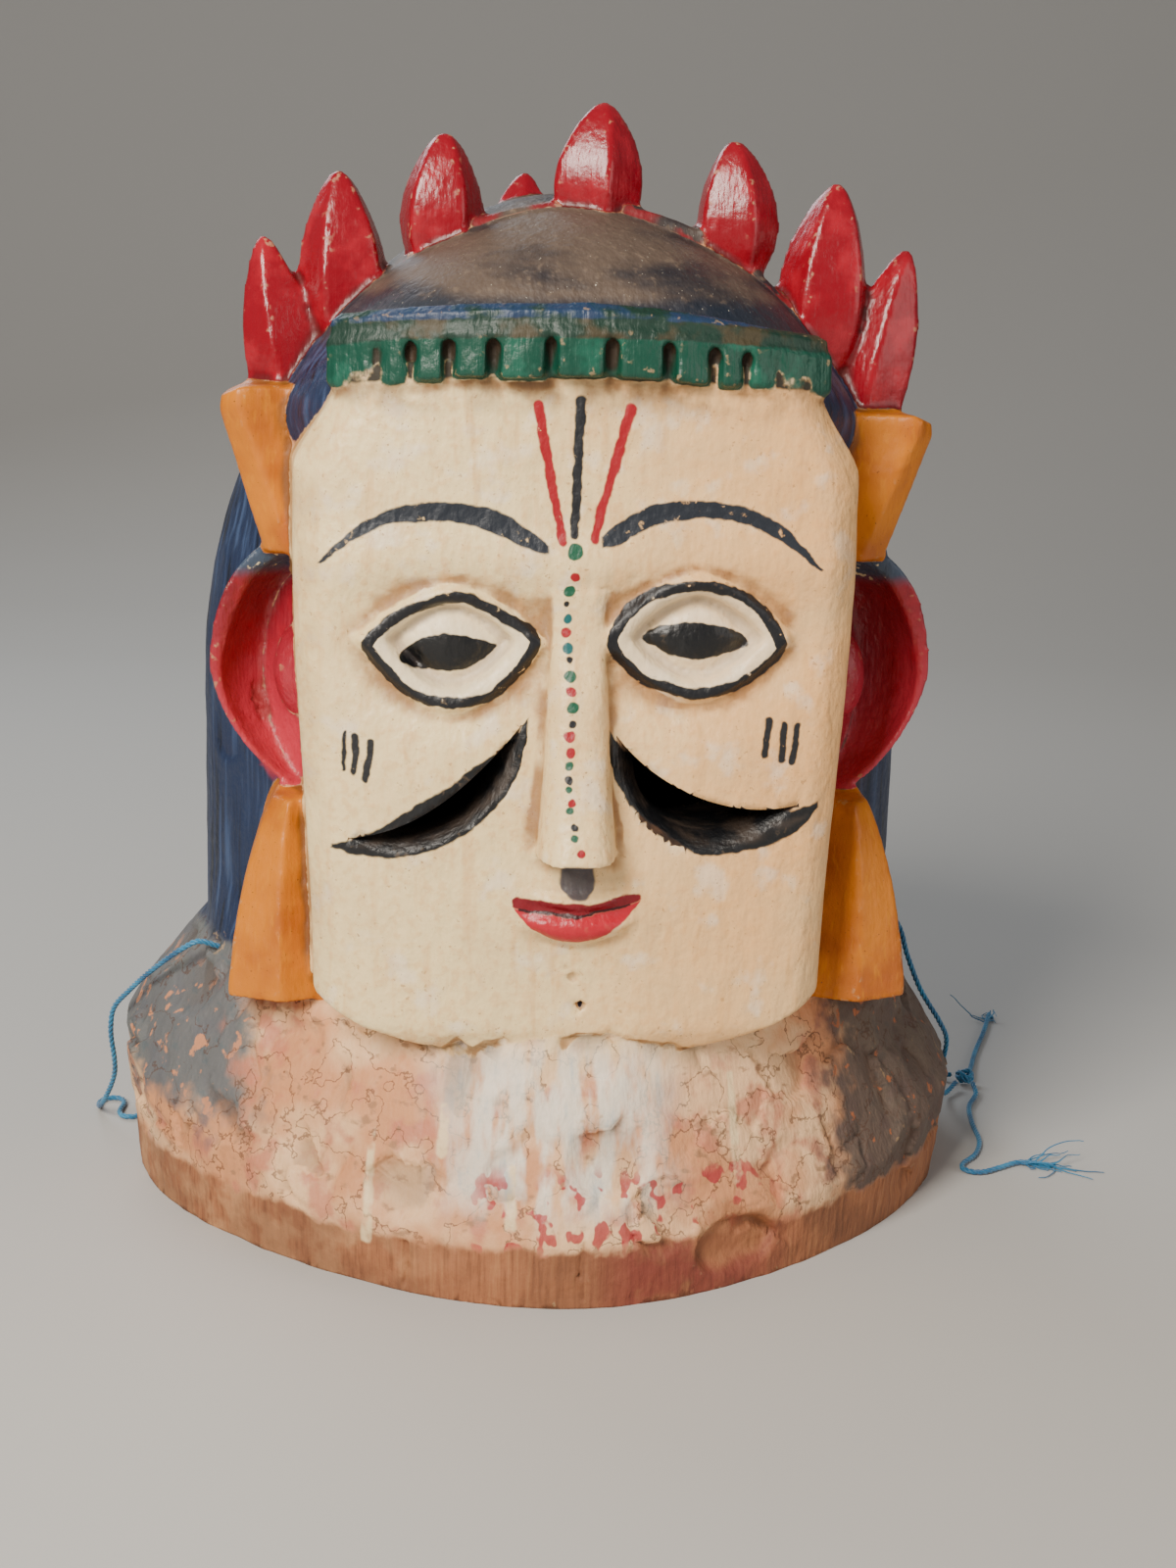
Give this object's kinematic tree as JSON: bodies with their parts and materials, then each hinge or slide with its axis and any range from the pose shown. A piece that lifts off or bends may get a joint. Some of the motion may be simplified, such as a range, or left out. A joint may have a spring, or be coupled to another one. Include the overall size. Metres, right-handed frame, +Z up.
{
  "type": "helmet mask",
  "caption": "Carved and painted wooden helmet mask: hollow head on a broad collar, flat face with crescent sight slits, shell ears, bud crown and a blue tie cord.",
  "frame": {"origin": "middle of the underside of the collar, on the surface the mask stands on", "axes": "+Z up, the face looks towards -Y, +X to the viewer's right of the face"},
  "size_m": [0.4221, 0.3244, 0.418],
  "materials": {
    "painted_wood": "hand-painted over gesso, satin to glossy, worn to bare wood at the collar",
    "cord": "twisted synthetic cord"
  },
  "bodies": {
    "root": {"mask": "painted_wood", "tie_cord_left": "cord", "tie_cord_right": "cord", "tie_cord_tail": "cord", "tie_cord_end": "cord", "cord_knot": "cord"}
  },
  "joints": []
}
